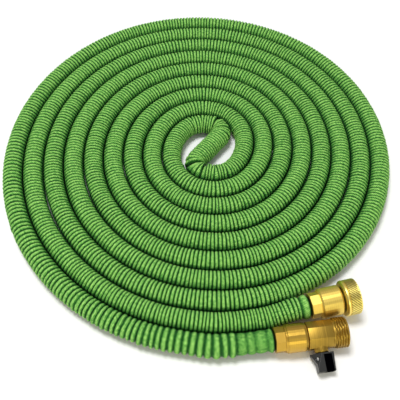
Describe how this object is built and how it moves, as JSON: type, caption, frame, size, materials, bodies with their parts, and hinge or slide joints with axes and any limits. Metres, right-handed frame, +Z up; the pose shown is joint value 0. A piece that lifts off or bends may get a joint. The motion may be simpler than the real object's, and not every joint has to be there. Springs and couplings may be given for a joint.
{
  "type": "expandable garden hose",
  "caption": "Pleated fabric expandable garden hose coiled flat as a double spiral, with a brass shut-off valve on one end and a brass swivel coupling on the other.",
  "frame": {"origin": "centre of the bounding box's underside, on the floor that the hose lies on", "axes": "+Z up, across the flat coil; -Y is the front, where both hose ends come out; both ends point roughly along +X"},
  "size_m": [0.3918, 0.4366, 0.0322],
  "materials": {
    "green_fabric": "woven green fabric gathered in pleats",
    "brass": "turned and milled bright brass",
    "black_plastic": "moulded black plastic",
    "black_rubber": "black rubber washer",
    "screw_steel": "plain steel"
  },
  "bodies": {
    "hose": {"hose_sleeve": "green_fabric", "valve_tailpiece": "brass", "valve_body": "brass", "coupling_body": "brass", "hose_washer": "black_rubber"},
    "lever": {"valve_stem": "brass", "valve_handle": "black_plastic", "handle_screw": "screw_steel"},
    "nut": {"swivel_nut": "brass"}
  },
  "joints": [
    {"name": "lever_turn", "type": "hinge", "parent": "hose", "child": "lever", "pos_m": [0.10823, -0.18681, 0.01265], "axis": [0.1635, -0.9606, -0.2249], "range_deg": [0, 90]},
    {"name": "nut_spin", "type": "hinge", "parent": "hose", "child": "nut", "pos_m": [0.13672, -0.15216, 0.01613], "axis": [0.9659, 0.2534, 0.0523], "continuous": true}
  ]
}
